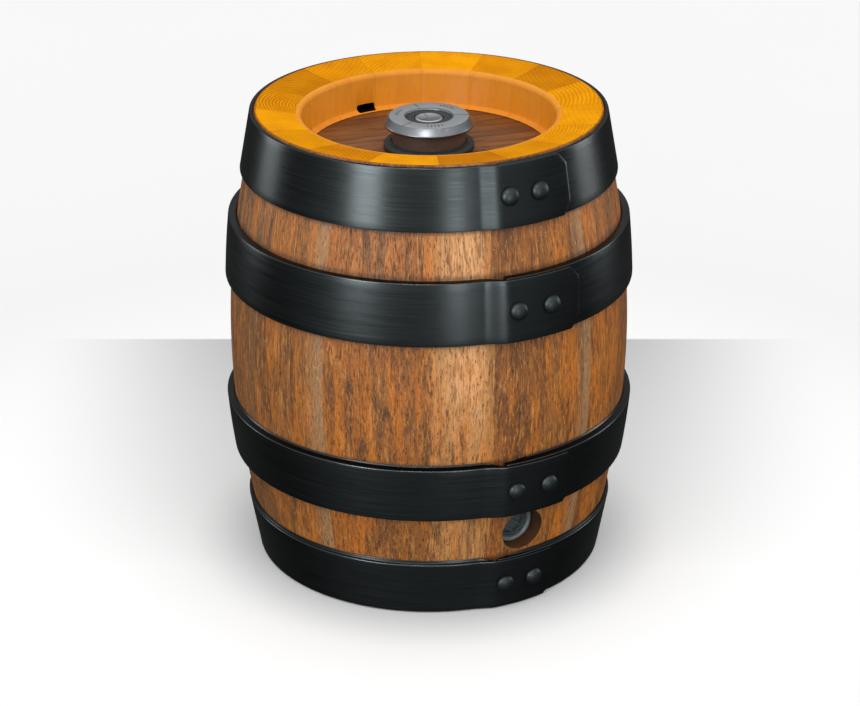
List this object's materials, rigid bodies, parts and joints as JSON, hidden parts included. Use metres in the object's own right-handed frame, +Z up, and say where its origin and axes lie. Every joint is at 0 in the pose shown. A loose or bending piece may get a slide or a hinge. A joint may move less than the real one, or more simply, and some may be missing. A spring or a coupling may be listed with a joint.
{
  "type": "beer keg",
  "caption": "Small wooden-jacketed beer keg: stave barrel with lapped steel hoops round a steel vessel, flat-top valve fitting in the head well, tap bush low in the side.",
  "frame": {"origin": "centre of the base, on the floor plane", "axes": "+Z up along the keg's axis, -Y towards the side with the tap hole (the hole is 29.5 degrees round from it towards +X)"},
  "size_m": [0.3034, 0.3034, 0.346],
  "materials": {
    "stave_oak": "worn stained oak, satin, bright yellow end grain",
    "head_oak": "dark brown stained oak, satin",
    "hoop_steel": "blackened steel, brushed along its length, satin",
    "stainless": "satin stainless",
    "fitting_steel": "turned stainless, fine concentric marks",
    "neck_steel": "matt stainless with a brown cast",
    "plug_steel": "pressed grey metal, satin",
    "spring_steel": "drawn wire",
    "rubber": "matt black rubber",
    "foam": "poured foam, matt"
  },
  "bodies": {
    "keg": {"stave_01": "stave_oak", "stave_02": "stave_oak", "stave_03": "stave_oak", "stave_04": "stave_oak", "stave_05": "stave_oak", "stave_06": "stave_oak", "stave_07": "stave_oak", "stave_08": "stave_oak", "stave_09": "stave_oak", "stave_10": "stave_oak", "stave_11": "stave_oak", "stave_12": "stave_oak", "stave_13": "stave_oak", "stave_14": "stave_oak", "stave_15": "stave_oak", "stave_16": "stave_oak", "top_chime_hoop": "hoop_steel", "upper_bilge_hoop": "hoop_steel", "lower_bilge_hoop": "hoop_steel", "bottom_chime_hoop": "hoop_steel", "top_chime_hoop_rivet_1": "hoop_steel", "top_chime_hoop_rivet_2": "hoop_steel", "upper_bilge_hoop_rivet_1": "hoop_steel", "upper_bilge_hoop_rivet_2": "hoop_steel", "lower_bilge_hoop_rivet_1": "hoop_steel", "lower_bilge_hoop_rivet_2": "hoop_steel", "bottom_chime_hoop_rivet_1": "hoop_steel", "bottom_chime_hoop_rivet_2": "hoop_steel", "head_board_1": "head_oak", "head_board_2": "head_oak", "head_board_3": "head_oak", "head_board_4": "head_oak", "base_board_1": "head_oak", "base_board_2": "head_oak", "base_board_3": "head_oak", "base_board_4": "head_oak", "vessel_lower_shell": "stainless", "vessel_upper_shell": "stainless", "foam_jacket": "foam", "neck_socket": "neck_steel", "neck_collar": "rubber", "neck_gasket": "rubber", "fitting_body": "fitting_steel", "retaining_ring": "stainless", "centre_disc": "fitting_steel", "spring_seat": "stainless", "valve_spring": "spring_steel", "tap_bush": "stainless", "tap_washer": "rubber"},
    "valve": {"valve_seal": "rubber", "valve_carrier": "stainless", "down_tube": "stainless"},
    "plug": {"tap_plug": "plug_steel"}
  },
  "joints": [
    {"name": "valve_press", "type": "slide", "parent": "keg", "child": "valve", "axis": [0, 0, 1], "range_m": [-0.006, 0], "stiffness_N_per_m": 3000, "springref_m": 0.002, "deforming": ["valve_spring"]},
    {"name": "plug_drive", "type": "slide", "parent": "keg", "child": "plug", "axis": [-0.4924, 0.8704, 0], "range_m": [0, 0.022]}
  ]
}
